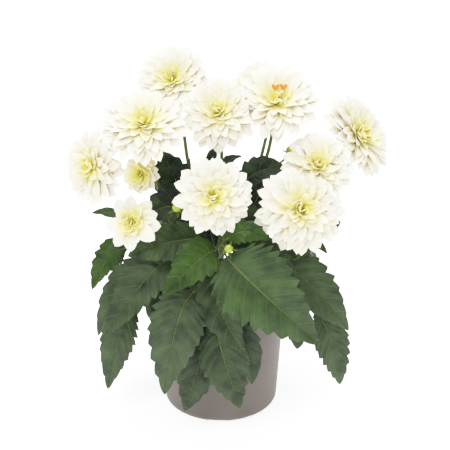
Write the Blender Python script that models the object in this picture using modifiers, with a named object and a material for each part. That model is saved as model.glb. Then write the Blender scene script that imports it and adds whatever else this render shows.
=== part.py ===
"""A potted dahlia: a plastic nursery pot, its soil, five leafy shoots and twelve double blooms.

Metres, +Z up. The origin is the centre of the pot's base, and the plant's best side faces -Y.
Lengths in the tables below are millimetres, because a grower measures a plant that way.
"""

import math

import bmesh
import bpy
from mathutils import Matrix, Vector

MM = 0.001
GAP = 0.3 * MM

# The pot: a thin tapered shell with a rolled lip, stood on a flat base.
POT_HEIGHT = 115 * MM
POT_BASE_RADIUS = 59.6 * MM
POT_TAPER = 0.068
POT_WALL = 1.3 * MM
POT_FLOOR = 3.0 * MM
POT_CORNER = 8 * MM
LIP_DEPTH = 11 * MM
LIP_REACH = 3.2 * MM
POT_STEPS = 32
DRAIN_COUNT = 5
WIDE_DRAIN = 18 * MM
NARROW_DRAIN = 5 * MM
DRAIN_DEPTH = 2 * MM
DRAIN_LENGTH = 12 * MM
FRONT_DRAIN_TURN = math.radians(-94)

# The soil fills the pot to a finger's width under the lip, and crowns a little.
SOIL_LEVEL = 100 * MM
SOIL_CROWN = 4 * MM
SOIL_STEPS = 24
STEM_HOLE_RADIUS = 4.6 * MM
STEM_HOLE_DEPTH = 26 * MM

# Green parts.
STEM_RADIUS = 3.3 * MM
PEDUNCLE_RADIUS = 1.9 * MM
PETIOLE_RADIUS = 1.3 * MM
LEAF_THICKNESS = 0.8 * MM
LEAF_FOLD = 0.12
CALYX_RADIUS = 7.5 * MM
CALYX_DEPTH = 6 * MM
BRACTS = 5

# A leaf's notches and teeth, as shares of its half width, and where in its step each tooth stands.
NOTCH_SHARE = 0.84
TOOTH_SHARE = 1.08
TOOTH_PLACE = 0.78
TOOTH_WIDTH_PLACE = 0.55

# Petals: each is a thin keeled blade, rooted in a small core. The innermost ones stand closed as one heart.
# The spiral is this many times as long as the petals that are made, because the heart stands in for the rest.
SPIRAL = 1.23
GOLDEN_ANGLE = math.radians(137.508)
KEEL = 1.5 * MM
CORE_BACK = 6 * MM
BLOOM_GAP = 0.8 * MM

# Shares of the bloom's radius. A pair is for the outermost petal and for the innermost.
CORE_SHARE = 0.21
HEART_SHARE = 0.17
HEART_TIP_SHARE = 0.05
HEART_HEIGHT = 0.40
INNER_REACH = 0.015
INNER_RISE = 0.44
PETAL_WIDTHS = (0.345, 0.165)
PETAL_LIFTS = (0.06, -0.02)

# Where a petal's root leaves the core, from the bloom's axis, and how deep in the core it sits.
ROOT_TURNS = (math.radians(92), math.radians(10))
ROOT_DEPTH = 0.50

# Where along a petal it is widest, and its foot and the rise of its edges as shares of its width.
PETAL_WIDEST = 0.70
PETAL_FOOT = 0.15
PETAL_CUP = 0.14

# Each bloom: heart of its face, the way that it faces (turn from -Y towards +X, and tilt up), its radius,
# how far its outer petals stand up (below 0 they bend back), and its petals.
BLOOMS = {
    "bloom_01_back_left": ((-52, 50, 349), (-12, 36), 41, 0.00, 23),
    "bloom_02_upper_left": ((-76, -45, 339), (-4, 54), 48, -0.08, 25),
    "bloom_03_upper_middle": ((-3, -15, 335), (-6, 37), 43, -0.04, 24),
    "bloom_04_far_left": ((-140, -8, 270), (-41, 16), 43, -0.10, 22),
    "bloom_05_middle": ((-5, -95, 274), (8, 24), 42, -0.04, 25),
    "bloom_06_half_open_left": ((-89, -75, 239), (-14, 30), 30, 0.06, 15),
    "bloom_07_upper_right": ((57, 0, 344), (4, 47), 47, 0.10, 24),
    "bloom_08_back_middle": ((23, 66, 331), (-60, 40), 44, 0.06, 19),
    "bloom_09_right": ((98, -35, 287), (4, 42), 40, 0.00, 23),
    "bloom_10_lower_right": ((79, -85, 259), (4, 32), 48, -0.08, 26),
    "bloom_11_far_right": ((152, 22, 299), (54, 34), 49, 0.06, 23),
    "bloom_12_small_left": ((-82, -28, 271), (-22, 28), 22, 0.12, 14),
}

# The open heart of one bloom shows two orange florets, each a pair of lobes like a heart.
ORANGE_BLOOM = "bloom_07_upper_right"
FLORET_STALK_RADIUS = 1.0 * MM
FLORET_LOBE = (2.2 * MM, 0.9 * MM, 4.2 * MM)
FLORET_LEAN = math.radians(24)
FLORET_PLACES = [(55, 3, 351), (63, 4, 351)]

# Each shoot: its main stem from the bottom of its hole upwards, and the blooms that it carries.
SHOOTS = {
    "shoot_left": (
        [(-26, -10, 75), (-26, -10, 106), (-34, -15, 165), (-42, -20, 222)],
        {"bloom_02_upper_left": 200, "bloom_12_small_left": 214, "bloom_06_half_open_left": 190},
    ),
    "shoot_back_left": (
        [(-16, 24, 75), (-16, 24, 106), (-26, 29, 185), (-34, 36, 262)],
        {"bloom_01_back_left": 250, "bloom_04_far_left": 190},
    ),
    "shoot_front": (
        [(0, -28, 75), (0, -28, 106), (1, -38, 165), (0, -48, 222)],
        {"bloom_03_upper_middle": 205, "bloom_05_middle": 215},
    ),
    "shoot_right": (
        [(28, -12, 75), (28, -12, 106), (38, -19, 165), (52, -26, 232)],
        {"bloom_09_right": 220, "bloom_10_lower_right": 205},
    ),
    "shoot_back_right": (
        [(20, 22, 75), (20, 22, 106), (30, 28, 180), (40, 30, 255)],
        {"bloom_07_upper_right": 245, "bloom_08_back_middle": 232, "bloom_11_far_right": 196},
    ),
}

# Each leaf: where its stalk leaves the stem, its base, bend and tip, the turn and tilt of its upper face,
# its width, and its teeth a side.
LEAVES = {
    "shoot_left": [
        (165, (-97, -24, 186), (-115, -28, 178), (-133, -30, 143), (-30, 30), 40, 5),
        (185, (-20, -50, 210), (-56, -66, 211), (-92, -70, 199), (-10, 30), 42, 6),
        (150, (-50, -60, 192), (-80, -74, 169), (-120, -80, 111), (-20, 25), 48, 6),
        (150, (-53, -54, 186), (-61, -64, 158), (-66, -68, 117), (-5, 20), 42, 5),
        (140, (-74, -42, 183), (-104, -52, 154), (-126, -56, 103), (-35, 20), 36, 5),
        (125, (-89, -36, 127), (-106, -44, 93), (-119, -46, 34), (-15, 15), 41, 6),
        (205, (-24, -28, 218), (-52, -30, 236), (-78, -32, 219), (-5, 30), 48, 5),
        (212, (-88, -44, 226), (-108, -42, 234), (-129, -40, 233), (-5, 40), 16, 3),
    ],
    "shoot_back_left": [
        (190, (-34, 4, 226), (-48, 6, 254), (-60, 8, 282), (-5, 15), 48, 4),
        (150, (-50, 48, 190), (-82, 66, 180), (-112, 84, 124), (-130, 30), 58, 5),
        (130, (-28, 58, 180), (-42, 88, 160), (-50, 108, 94), (-165, 25), 62, 5),
        (120, (-60, 20, 166), (-92, 26, 148), (-114, 30, 90), (-100, 25), 56, 4),
        (230, (-34, 56, 226), (-44, 80, 232), (-50, 102, 208), (-160, 50), 42, 4),
        (200, (-6, 50, 214), (0, 78, 214), (6, 102, 182), (180, 45), 46, 4),
    ],
    "shoot_front": [
        (210, (-6, -88, 213), (-24, -102, 207), (-57, -108, 173), (-8, 30), 44, 5),
        (150, (-28, -83, 164), (-44, -99, 135), (-57, -97, 57), (-8, 15), 60, 6),
        (120, (-13, -76, 124), (-23, -84, 81), (-37, -84, 30), (-8, 10), 46, 5),
        (125, (-6, -80, 132), (4, -91, 92), (20, -90, 37), (2, 10), 52, 6),
        (120, (8, -74, 134), (26, -78, 100), (32, -76, 57), (15, 10), 34, 4),
        (180, (2, -74, 198), (-2, -86, 156), (24, -96, 103), (0, 15), 48, 5),
        (205, (6, -96, 210), (38, -110, 181), (99, -100, 116), (8, 22), 84, 7),
        (218, (6, -90, 226), (25, -93, 236), (47, -88, 225), (5, 40), 26, 4),
        (214, (11, -90, 218), (25, -92, 214), (41, -88, 200), (5, 40), 18, 3),
    ],
    "shoot_right": [
        (185, (22, -70, 208), (47, -79, 202), (77, -80, 174), (8, 30), 40, 5),
        (170, (52, -54, 194), (92, -62, 162), (131, -60, 111), (22, 22), 52, 6),
        (125, (98, -48, 130), (115, -54, 92), (125, -52, 43), (18, 15), 41, 6),
        (130, (62, -54, 146), (77, -56, 118), (79, -54, 86), (10, 15), 32, 4),
        (150, (79, -40, 157), (91, -42, 144), (98, -41, 119), (10, 20), 24, 3),
        (195, (77, -64, 193), (91, -66, 211), (106, -68, 201), (5, 30), 14, 3),
        (215, (16, -44, 226), (34, -40, 244), (42, -36, 266), (5, 20), 42, 5),
        (205, (16, -56, 220), (32, -56, 232), (50, -54, 230), (5, 30), 34, 4),
        (215, (87, -48, 215), (105, -44, 220), (121, -40, 223), (5, 30), 24, 4),
    ],
    "shoot_back_right": [
        (220, (22, -4, 250), (42, -2, 264), (66, 0, 266), (5, 30), 34, 4),
        (150, (50, 50, 185), (80, 70, 170), (102, 84, 102), (130, 30), 58, 5),
        (130, (20, 60, 180), (28, 92, 160), (34, 114, 92), (165, 25), 62, 5),
        (125, (62, 22, 176), (94, 30, 156), (114, 34, 94), (100, 25), 56, 4),
        (205, (42, 52, 212), (62, 76, 216), (80, 94, 190), (150, 50), 44, 4),
        (165, (8, 4, 182), (0, -10, 184), (-10, -24, 168), (-20, 70), 34, 3),
    ],
}

# Each green bud: its shoot, where its stalk leaves the stem, its place, the way it faces and its radius.
BUDS = [
    ("shoot_front", 216, (8, -105, 223), (10, 40), 4.2),
    ("shoot_front", 214, (-43, -62, 248), (-20, 50), 4.6),
    ("shoot_back_right", 235, (74, 62, 262), (140, 55), 5.0),
]


def mm(point):
    """A point in millimetres as a vector in metres."""
    return Vector(point) * MM


def facing(turn, tilt):
    """The unit vector that is turned this many degrees from -Y towards +X and tilted up."""
    turn, tilt = math.radians(turn), math.radians(tilt)
    return Vector((math.sin(turn) * math.cos(tilt), -math.cos(turn) * math.cos(tilt), math.sin(tilt)))


def between(pair, share):
    """The value at this share of the way from the first of a pair to the second."""
    return pair[0] + (pair[1] - pair[0]) * share


def bezier(a, b, c, d, t):
    """The point at t on the cubic from a to d with handles b and c."""
    s = 1 - t
    return a * s**3 + b * 3 * s * s * t + c * 3 * s * t * t + d * t**3


def clear_scene():
    for obj in list(bpy.data.objects):
        bpy.data.objects.remove(obj, do_unlink=True)


def make_material(name, colour, roughness):
    material = bpy.data.materials.new(name)
    material.use_nodes = True
    shader = material.node_tree.nodes["Principled BSDF"]
    shader.inputs["Base Color"].default_value = (*colour, 1)
    shader.inputs["Roughness"].default_value = roughness
    shader.inputs["Metallic"].default_value = 0
    return material


def add_object(name, mesh, collection):
    obj = bpy.data.objects.new(name, mesh)
    collection.objects.link(obj)
    return obj


def mesh_from_bmesh(name, bm):
    mesh = bpy.data.meshes.new(name)
    bm.to_mesh(mesh)
    bm.free()
    return mesh


def evaluated_mesh(obj):
    """The object's mesh with its modifiers applied and its loose caps welded."""
    graph = bpy.context.evaluated_depsgraph_get()
    mesh = bpy.data.meshes.new_from_object(obj.evaluated_get(graph))
    bm = bmesh.new()
    bm.from_mesh(mesh)
    bmesh.ops.remove_doubles(bm, verts=bm.verts, dist=0.00001)
    bm.to_mesh(mesh)
    bm.free()
    return mesh


def baked(obj, collection):
    """A plain mesh object in place of one with modifiers, or in place of a curve."""
    solid = add_object(obj.name + "_solid", evaluated_mesh(obj), collection)
    bpy.data.objects.remove(obj, do_unlink=True)
    return solid


def finish(obj, name, material):
    """Names the finished object, gives it its material, and shades it smooth between sharp edges."""
    obj.name = name
    obj.data.name = name
    obj.data.materials.clear()
    obj.data.materials.append(material)
    obj.data.shade_smooth()
    obj.data.set_sharp_from_angle(angle=math.radians(35))


def union(body, pieces, solver="MANIFOLD"):
    """Joins the objects of a collection to the body, and removes them."""
    modifier = body.modifiers.new("join", "BOOLEAN")
    modifier.operation = "UNION"
    modifier.operand_type = "COLLECTION"
    modifier.collection = pieces
    modifier.solver = solver
    mesh = evaluated_mesh(body)
    body.modifiers.clear()
    body.data = mesh
    for piece in list(pieces.objects):
        bpy.data.objects.remove(piece, do_unlink=True)


def turned(name, profile, steps, collection):
    """A profile of (radius, height) points, from the top down its outer side, turned about Z."""
    mesh = bpy.data.meshes.new(name)
    edges = [(i, i + 1) for i in range(len(profile) - 1)]
    mesh.from_pydata([(radius, 0, height) for radius, height in profile], edges, [])
    obj = add_object(name, mesh, collection)
    screw = obj.modifiers.new("turn", "SCREW")
    screw.steps = screw.render_steps = steps
    screw.use_merge_vertices = True
    screw.merge_threshold = 0.00005
    return obj


def box_cutter(name, size, centre, turn, cutters):
    bm = bmesh.new()
    bmesh.ops.create_cube(bm, size=1)
    bmesh.ops.scale(bm, vec=size, verts=bm.verts)
    obj = add_object(name, mesh_from_bmesh(name, bm), cutters)
    obj.location = centre
    obj.rotation_euler.z = turn
    return obj


def pot_radius(height):
    return POT_BASE_RADIUS + POT_TAPER * height


def make_pot(collection, cutters):
    """The pot's shell, with drain channels under the edge of its base."""
    top = pot_radius(POT_HEIGHT)
    under_lip = POT_HEIGHT - LIP_DEPTH
    profile = [
        (top - POT_WALL, POT_HEIGHT - 1 * MM),
        (top - POT_WALL + 1 * MM, POT_HEIGHT),
        (top + LIP_REACH - 1 * MM, POT_HEIGHT),
        (top + LIP_REACH, POT_HEIGHT - 1.5 * MM),
        (pot_radius(under_lip) + LIP_REACH - 0.4 * MM, under_lip + 1 * MM),
        (pot_radius(under_lip) + LIP_REACH - 1.4 * MM, under_lip),
        (pot_radius(under_lip), under_lip),
        (pot_radius(POT_CORNER), POT_CORNER),
    ]
    for step in (1, 2, 3):
        turn = math.radians(90) * step / 3
        radius = pot_radius(POT_CORNER) - POT_CORNER * (1 - math.cos(turn))
        profile.append((radius, POT_CORNER * (1 - math.sin(turn))))
    profile += [(0, 0), (0, POT_FLOOR)]
    profile.append((pot_radius(POT_FLOOR) - POT_CORNER, POT_FLOOR))
    profile.append((pot_radius(POT_CORNER) - POT_WALL, POT_CORNER + 1 * MM))
    profile.append(profile[0])
    pot = turned("pot_profile", profile, POT_STEPS, collection)
    pot = baked(pot, collection)
    for i in range(2 * DRAIN_COUNT):
        width = NARROW_DRAIN if i % 2 else WIDE_DRAIN
        turn = FRONT_DRAIN_TURN + math.pi * i / DRAIN_COUNT
        reach = pot_radius(0) - DRAIN_LENGTH / 2
        centre = Vector((math.cos(turn), math.sin(turn), 0)) * reach
        size = (DRAIN_LENGTH, width, 2 * DRAIN_DEPTH)
        cutter = box_cutter(f"drain_{i}", size, centre, turn, cutters)
        cut = pot.modifiers.new(cutter.name, "BOOLEAN")
        cut.object = cutter
        cut.operation = "DIFFERENCE"
    return pot


def make_soil(collection, cutters):
    """The soil, crowned in the middle, with a plain hole for each stem."""
    floor = POT_FLOOR + GAP
    inner_top = pot_radius(SOIL_LEVEL) - POT_WALL - GAP
    corner = pot_radius(POT_CORNER) - POT_WALL - 2 * GAP
    profile = [
        (0, SOIL_LEVEL + SOIL_CROWN),
        (0.55 * inner_top, SOIL_LEVEL + 0.75 * SOIL_CROWN),
        (inner_top, SOIL_LEVEL),
        (corner, POT_CORNER + 2 * MM),
        (pot_radius(POT_FLOOR) - POT_CORNER - 1 * MM, floor),
        (0, floor),
    ]
    soil = baked(turned("soil_profile", profile, SOIL_STEPS, collection), collection)
    for name, (stem, _) in SHOOTS.items():
        bm = bmesh.new()
        bmesh.ops.create_cone(
            bm,
            cap_ends=True,
            segments=10,
            radius1=STEM_HOLE_RADIUS,
            radius2=STEM_HOLE_RADIUS,
            depth=2 * STEM_HOLE_DEPTH,
        )
        hole = add_object(name + "_hole", mesh_from_bmesh(name + "_hole", bm), cutters)
        hole.location = mm(stem[0]) + Vector((0, 0, STEM_HOLE_DEPTH - GAP))
        cut = soil.modifiers.new(hole.name, "BOOLEAN")
        cut.object = hole
        cut.operation = "DIFFERENCE"
    return soil


def tube(name, points, radii, resolution, collection):
    """A tapered stem along these points, with filled caps, as a mesh."""
    curve = bpy.data.curves.new(name, "CURVE")
    curve.dimensions = "3D"
    curve.bevel_depth = 1
    curve.bevel_resolution = resolution
    curve.use_fill_caps = True
    spline = curve.splines.new("POLY")
    spline.points.add(len(points) - 1)
    for target, point, radius in zip(spline.points, points, radii):
        target.co = (*point, 1)
        target.radius = radius
    return baked(add_object(name, curve, collection), collection)


def stem_line(points, steps):
    """A smooth line through the points, as a Catmull-Rom curve."""
    padded = [points[0] * 2 - points[1], *points, points[-1] * 2 - points[-2]]
    line = []
    for before, start, end, after in zip(padded, padded[1:], padded[2:], padded[3:]):
        first = start + (end - before) / 6
        second = end - (after - start) / 6
        line += [bezier(start, first, second, end, i / steps) for i in range(steps)]
    return [*line, points[-1]]


def at_height(line, height):
    """The point of a rising line at this height."""
    for low, high in zip(line, line[1:]):
        if low.z <= height <= high.z:
            return low.lerp(high, (height - low.z) / (high.z - low.z))
    return line[-1].copy()


def stalk(name, start, end, end_direction, radii, steps, collection):
    """A stalk that leaves a stem rising and reaches its end in the given direction."""
    length = (end - start).length
    out = Vector((end.x - start.x, end.y - start.y, 0))
    rise = (out.normalized() * 0.6 + Vector((0, 0, 1))).normalized()
    first = start + rise * 0.4 * length
    second = end - end_direction * 0.35 * length
    points = [bezier(start, first, second, end, i / steps) for i in range(steps + 1)]
    taper = [radii[0] + (radii[1] - radii[0]) * i / steps for i in range(steps + 1)]
    return tube(name, points, taper, 0, collection)


def leaf_shape(share):
    """A leaf's half width along its midrib, as a share of the widest: round below, drawn out to the tip."""
    return math.sin(math.pi * share**0.76) ** 0.85 * (1 - 0.15 * share)


def make_leaf(name, base, bend, tip, face, width, teeth, collection):
    """A toothed blade folded a little along its midrib, which arches from base to tip through the bend."""
    handle = bend * 2 - (base + tip) / 2

    def midrib(t):
        return base * (1 - t) ** 2 + handle * 2 * t * (1 - t) + tip * t * t

    def place(t, reach):
        along = (midrib(min(t + 0.02, 1)) - midrib(max(t - 0.02, 0))).normalized()
        side = along.cross(face).normalized()
        normal = side.cross(along)
        return midrib(t) + side * reach + normal * LEAF_FOLD * abs(reach)

    def half_width(t):
        return 0.5 * width * leaf_shape(min(max(t, 0.05), 1))

    verts = [midrib(j / teeth) for j in range(teeth + 1)]
    faces = []
    for side in (-1, 1):
        first = len(verts)
        for j in range(teeth):
            start, step = j / teeth, 1 / teeth
            verts.append(place(start, side * NOTCH_SHARE * half_width(start)))
            reach = side * TOOTH_SHARE * half_width(start + TOOTH_WIDTH_PLACE * step)
            verts.append(place(start + TOOTH_PLACE * step, reach))
        for j in range(teeth):
            notch, tooth = first + 2 * j, first + 2 * j + 1
            last = j + 1 == teeth
            beyond = teeth if last else notch + 2
            flaps = [(notch, beyond, tooth), (j, teeth if last else j + 1, notch)]
            if not last:
                flaps.append((j + 1, beyond, notch))
            faces += flaps if side > 0 else [flap[::-1] for flap in flaps]
    mesh = bpy.data.meshes.new(name)
    mesh.from_pydata(verts, [], faces)
    leaf = add_object(name, mesh, collection)
    wall = leaf.modifiers.new("thickness", "SOLIDIFY")
    wall.thickness = LEAF_THICKNESS
    wall.offset = 0
    baked(leaf, collection)
    return midrib


def make_calyx(name, heart, axis, collection):
    """The green cup behind a bloom, with a ring of short bracts."""
    bm = bmesh.new()
    bmesh.ops.create_cone(
        bm,
        cap_ends=True,
        segments=BRACTS,
        radius1=PEDUNCLE_RADIUS * 1.3,
        radius2=CALYX_RADIUS,
        depth=CALYX_DEPTH,
    )
    calyx = add_object(name, mesh_from_bmesh(name, bm), collection)
    calyx.data.transform(axis.to_track_quat("Z", "Y").to_matrix().to_4x4())
    middle = heart - axis * (CORE_BACK + GAP + CALYX_DEPTH / 2)
    for vertex in calyx.data.vertices:
        vertex.co += middle
    return calyx


def bloom_core(heart_of_face, axis, radius):
    """The middle of a bloom's core, from which its petals spread. The face's heart stands in front of it."""
    return mm(heart_of_face) - axis * HEART_HEIGHT * radius * MM


def make_shoot(name, collection, workshop):
    """One leafy stem with its leaves, flower stalks, calyxes and buds, fused in one body."""
    points, carried = SHOOTS[name]
    line = stem_line([mm(point) for point in points], 2)
    line[0].z += GAP
    radii = [STEM_RADIUS * (1 - 0.35 * i / (len(line) - 1)) for i in range(len(line))]
    stem = tube(name, line, radii, 1, collection)
    for bloom, height in carried.items():
        heart, turns, radius, _, _ = BLOOMS[bloom]
        axis = facing(*turns)
        core = bloom_core(heart, axis, radius)
        end = core - axis * (CORE_BACK + GAP + CALYX_DEPTH * 0.7)
        start = at_height(line, height * MM)
        ends = (PEDUNCLE_RADIUS * 1.25, PEDUNCLE_RADIUS)
        stalk(bloom + "_stalk", start, end, axis, ends, 3, workshop)
        make_calyx(bloom + "_calyx", core, axis, workshop)
    for i, (height, base, bend, tip, face, width, teeth) in enumerate(LEAVES[name]):
        base, bend, tip = mm(base), mm(bend), mm(tip)
        midrib = make_leaf(f"leaf_{i}", base, bend, tip, facing(*face), width * MM, teeth, workshop)
        inside = midrib(0.06)
        direction = (inside - base).normalized()
        ends = (PETIOLE_RADIUS * 1.2, PETIOLE_RADIUS * 0.8)
        stalk(f"petiole_{i}", at_height(line, height * MM), inside, direction, ends, 2, workshop)
    for i, (shoot, height, place, turns, radius) in enumerate(BUDS):
        if shoot != name:
            continue
        bud = bpy.data.meshes.new("bud")
        bm = bmesh.new()
        bmesh.ops.create_icosphere(bm, subdivisions=1, radius=radius * MM)
        bm.to_mesh(bud)
        bm.free()
        for vertex in bud.vertices:
            vertex.co += mm(place)
        add_object(f"bud_{i}", bud, workshop)
        ends = (PETIOLE_RADIUS, PETIOLE_RADIUS * 0.9)
        stalk(f"bud_stalk_{i}", at_height(line, height * MM), mm(place), facing(*turns), ends, 3, workshop)
    union(stem, workshop)
    return stem


def bloom_planes(name):
    """Planes between this bloom and its neighbours, which its petals bend clear of."""
    heart, turns, radius, _, _ = BLOOMS[name]
    core = bloom_core(heart, facing(*turns), radius)
    planes = []
    for other, (other_heart, other_turns, other_radius, _, _) in BLOOMS.items():
        if other == name:
            continue
        other_core = bloom_core(other_heart, facing(*other_turns), other_radius)
        away = other_core - core
        if away.length < (radius + other_radius) * 1.1 * MM:
            share = radius / (radius + other_radius)
            planes.append((core + away * share, away.normalized()))
    return planes


def bent_clear(points, planes):
    """The points of one cross-section, moved together to this bloom's side of every plane."""
    for origin, normal in planes:
        past = max((point - origin).dot(normal) for point in points) + BLOOM_GAP / 2
        if past > 0:
            points = [point - normal * past for point in points]
    return points


def make_petal(name, core, frame, share, turn, radius, rise, planes, collection):
    """One keeled petal. The share is 0 for the outermost petal of the bloom and 1 for the innermost."""
    right, up, axis = frame
    out = right * math.cos(turn) + up * math.sin(turn)
    side = axis.cross(out)
    reach = radius * (1 - (1 - INNER_REACH) * share**1.6) ** 0.8
    height = radius * (rise + (INNER_RISE - rise) * share**0.9)
    root_turn = between(ROOT_TURNS, share)
    outwards = out * math.sin(root_turn) + axis * math.cos(root_turn)
    root = core + outwards * radius * CORE_SHARE * ROOT_DEPTH
    tip = core + out * reach + axis * height
    along = (tip - root).normalized()
    normal = along.cross(side)
    wide = root.lerp(tip, PETAL_WIDEST) + normal * radius * between(PETAL_LIFTS, share)
    width = radius * between(PETAL_WIDTHS, share)
    foot = width * PETAL_FOOT
    at_root = [
        root - side * foot / 2,
        root + normal * KEEL * 0.4,
        root + side * foot / 2,
        root - normal * KEEL * 0.4,
    ]
    cup = normal * width * PETAL_CUP
    at_wide = [
        wide - side * width / 2 + cup,
        wide + normal * KEEL * 0.15,
        wide + side * width / 2 + cup,
        wide - normal * KEEL * 0.85,
    ]
    verts = [*at_root, *bent_clear(at_wide, planes), *bent_clear([tip], planes)]
    faces = [(3, 2, 1, 0), (4, 5, 8), (5, 6, 8), (6, 7, 8), (7, 4, 8)]
    faces += [(0, 1, 4), (1, 5, 4), (1, 2, 6), (1, 6, 5)]
    faces += [(2, 3, 6), (3, 7, 6), (3, 0, 4), (3, 4, 7)]
    mesh = bpy.data.meshes.new(name)
    mesh.from_pydata(verts, [], faces)
    bm = bmesh.new()
    bm.from_mesh(mesh)
    bmesh.ops.recalc_face_normals(bm, faces=bm.faces)
    bm.to_mesh(mesh)
    bm.free()
    return add_object(name, mesh, collection)


def make_bloom(name, collection, workshop):
    """One double bloom: petals by the golden angle round a small core, fused in one body."""
    heart, turns, radius, rise, petals = BLOOMS[name]
    axis = facing(*turns)
    core = bloom_core(heart, axis, radius)
    radius *= MM
    right = Vector((0, 0, 1)).cross(axis).normalized()
    frame = (right, axis.cross(right), axis)
    bm = bmesh.new()
    bmesh.ops.create_icosphere(bm, subdivisions=1, radius=1)
    size = radius * CORE_SHARE
    for vertex in bm.verts:
        x, y, z = vertex.co
        vertex.co = core + (right * x + frame[1] * y) * size + axis * max(z * size * 1.1, -CORE_BACK)
    body = add_object(name, mesh_from_bmesh(name, bm), collection)
    bm = bmesh.new()
    bmesh.ops.create_cone(
        bm,
        cap_ends=True,
        segments=6,
        radius1=radius * HEART_SHARE,
        radius2=radius * HEART_TIP_SHARE,
        depth=radius * HEART_HEIGHT,
    )
    heart_bud = add_object("heart", mesh_from_bmesh("heart", bm), workshop)
    heart_bud.data.transform(axis.to_track_quat("Z", "Y").to_matrix().to_4x4())
    for vertex in heart_bud.data.vertices:
        vertex.co += core + axis * radius * HEART_HEIGHT / 2
    planes = bloom_planes(name)
    for i in range(petals):
        share = i / (SPIRAL * petals - 1)
        make_petal(f"petal_{i}", core, frame, share, i * GOLDEN_ANGLE, radius, rise, planes, workshop)
    union(body, workshop)
    return body


def make_florets(collection, workshop):
    """The two orange florets on one thin stalk, which stands just clear of the bloom's heart."""
    heart, turns, radius, _, _ = BLOOMS[ORANGE_BLOOM]
    axis = facing(*turns)
    foot = mm(heart) + axis * (FLORET_STALK_RADIUS + 2 * GAP)
    florets = None
    for i, place in enumerate(FLORET_PLACES):
        middle = mm(place)
        stalk_top = middle - Vector((0, 0, FLORET_LOBE[2] * 0.6))
        ends = [FLORET_STALK_RADIUS] * 2
        piece = tube(f"floret_stalk_{i}", [foot, stalk_top], ends, 0, workshop if i else collection)
        florets = florets or piece
        for side in (-1, 1):
            bm = bmesh.new()
            bmesh.ops.create_uvsphere(bm, u_segments=4, v_segments=3, radius=1)
            bmesh.ops.scale(bm, vec=FLORET_LOBE, verts=bm.verts)
            lean = Matrix.Rotation(side * FLORET_LEAN, 3, "Y")
            for vertex in bm.verts:
                vertex.co = middle + lean @ (vertex.co + Vector((0, 0, FLORET_LOBE[2] * 0.3)))
            add_object(f"lobe_{i}_{side}", mesh_from_bmesh("lobe", bm), workshop)
    union(florets, workshop)
    return florets


def main():
    clear_scene()
    parts = bpy.data.collections.new("potted_dahlia")
    cutters = bpy.data.collections.new("cutters")
    workshop = bpy.data.collections.new("workshop")
    for collection in (parts, cutters, workshop):
        bpy.context.scene.collection.children.link(collection)
    pot_plastic = make_material("pot_plastic", (0.26, 0.22, 0.20), 0.55)
    soil_peat = make_material("soil_peat", (0.03, 0.02, 0.012), 0.95)
    leaf_green = make_material("leaf_green", (0.06, 0.11, 0.04), 0.45)
    petal_cream = make_material("petal_cream", (0.90, 0.88, 0.68), 0.55)
    floret_orange = make_material("floret_orange", (0.85, 0.18, 0.01), 0.5)
    finish(make_pot(parts, cutters), "pot", pot_plastic)
    finish(make_soil(parts, cutters), "soil", soil_peat)
    for name in SHOOTS:
        finish(make_shoot(name, parts, workshop), name, leaf_green)
    for name in BLOOMS:
        finish(make_bloom(name, parts, workshop), name, petal_cream)
    finish(make_florets(parts, workshop), "bloom_07_orange_florets", floret_orange)
    for cutter in cutters.objects:
        cutter.hide_render = True
        cutter.display_type = "WIRE"
    bpy.data.collections.remove(workshop)


main()
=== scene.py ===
"""A potted dahlia in full bloom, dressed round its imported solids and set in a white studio.

Lengths in the tables are millimetres, as a grower measures a plant. Meshes are in metres, +Z up,
with the plant's best side towards -Y.
"""

import math

import bmesh
import bpy
import numpy as np
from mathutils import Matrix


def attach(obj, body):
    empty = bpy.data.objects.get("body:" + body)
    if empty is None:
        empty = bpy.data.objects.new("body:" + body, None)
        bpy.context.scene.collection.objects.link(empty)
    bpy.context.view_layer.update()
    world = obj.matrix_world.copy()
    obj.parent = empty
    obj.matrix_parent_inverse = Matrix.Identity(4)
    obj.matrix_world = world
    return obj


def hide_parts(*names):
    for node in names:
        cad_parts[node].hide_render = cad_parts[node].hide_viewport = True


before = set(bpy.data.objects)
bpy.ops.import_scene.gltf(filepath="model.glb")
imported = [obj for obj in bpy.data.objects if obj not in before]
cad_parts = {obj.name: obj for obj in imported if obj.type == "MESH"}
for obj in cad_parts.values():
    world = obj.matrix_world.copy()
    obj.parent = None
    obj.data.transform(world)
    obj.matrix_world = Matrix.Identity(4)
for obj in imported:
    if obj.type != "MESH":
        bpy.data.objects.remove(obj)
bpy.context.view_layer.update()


# The camera: a long lens about a metre and a half away, looking down on the plant so that the pot's
# base shows as a shallow ellipse. The photograph is 450 pixels wide.
MM = 0.001
PICTURE_WIDTH = 450
FOCAL_PIXELS = 1445
CAMERA_DISTANCE = 1500 * MM
CAMERA_ANGLE = math.radians(23.5)
CAMERA_TARGET = np.array([4.5, 0, 202.5]) * MM

camera_data = bpy.data.cameras.new("camera")
camera_data.lens = camera_data.sensor_width * FOCAL_PIXELS / PICTURE_WIDTH
camera = bpy.data.objects.new("camera", camera_data)
bpy.context.scene.collection.objects.link(camera)
towards_camera = np.array([0, -math.cos(CAMERA_ANGLE), math.sin(CAMERA_ANGLE)])
camera.location = CAMERA_TARGET + CAMERA_DISTANCE * towards_camera
camera.rotation_euler = (math.pi / 2 - CAMERA_ANGLE, 0, 0)
bpy.context.scene.camera = camera


# The studio: a white table of translucent acrylic, lit a little from below so that shadows on it stay
# faint, a dim white surround, a wide soft box overhead, a key one at the upper left and a weak fill.
TABLE_WHITE = "#F7F7F7"
TABLE_GLOW = 1.0
TABLE_SIZE = 12.0
SURROUND_LIGHT = 0.52


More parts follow.
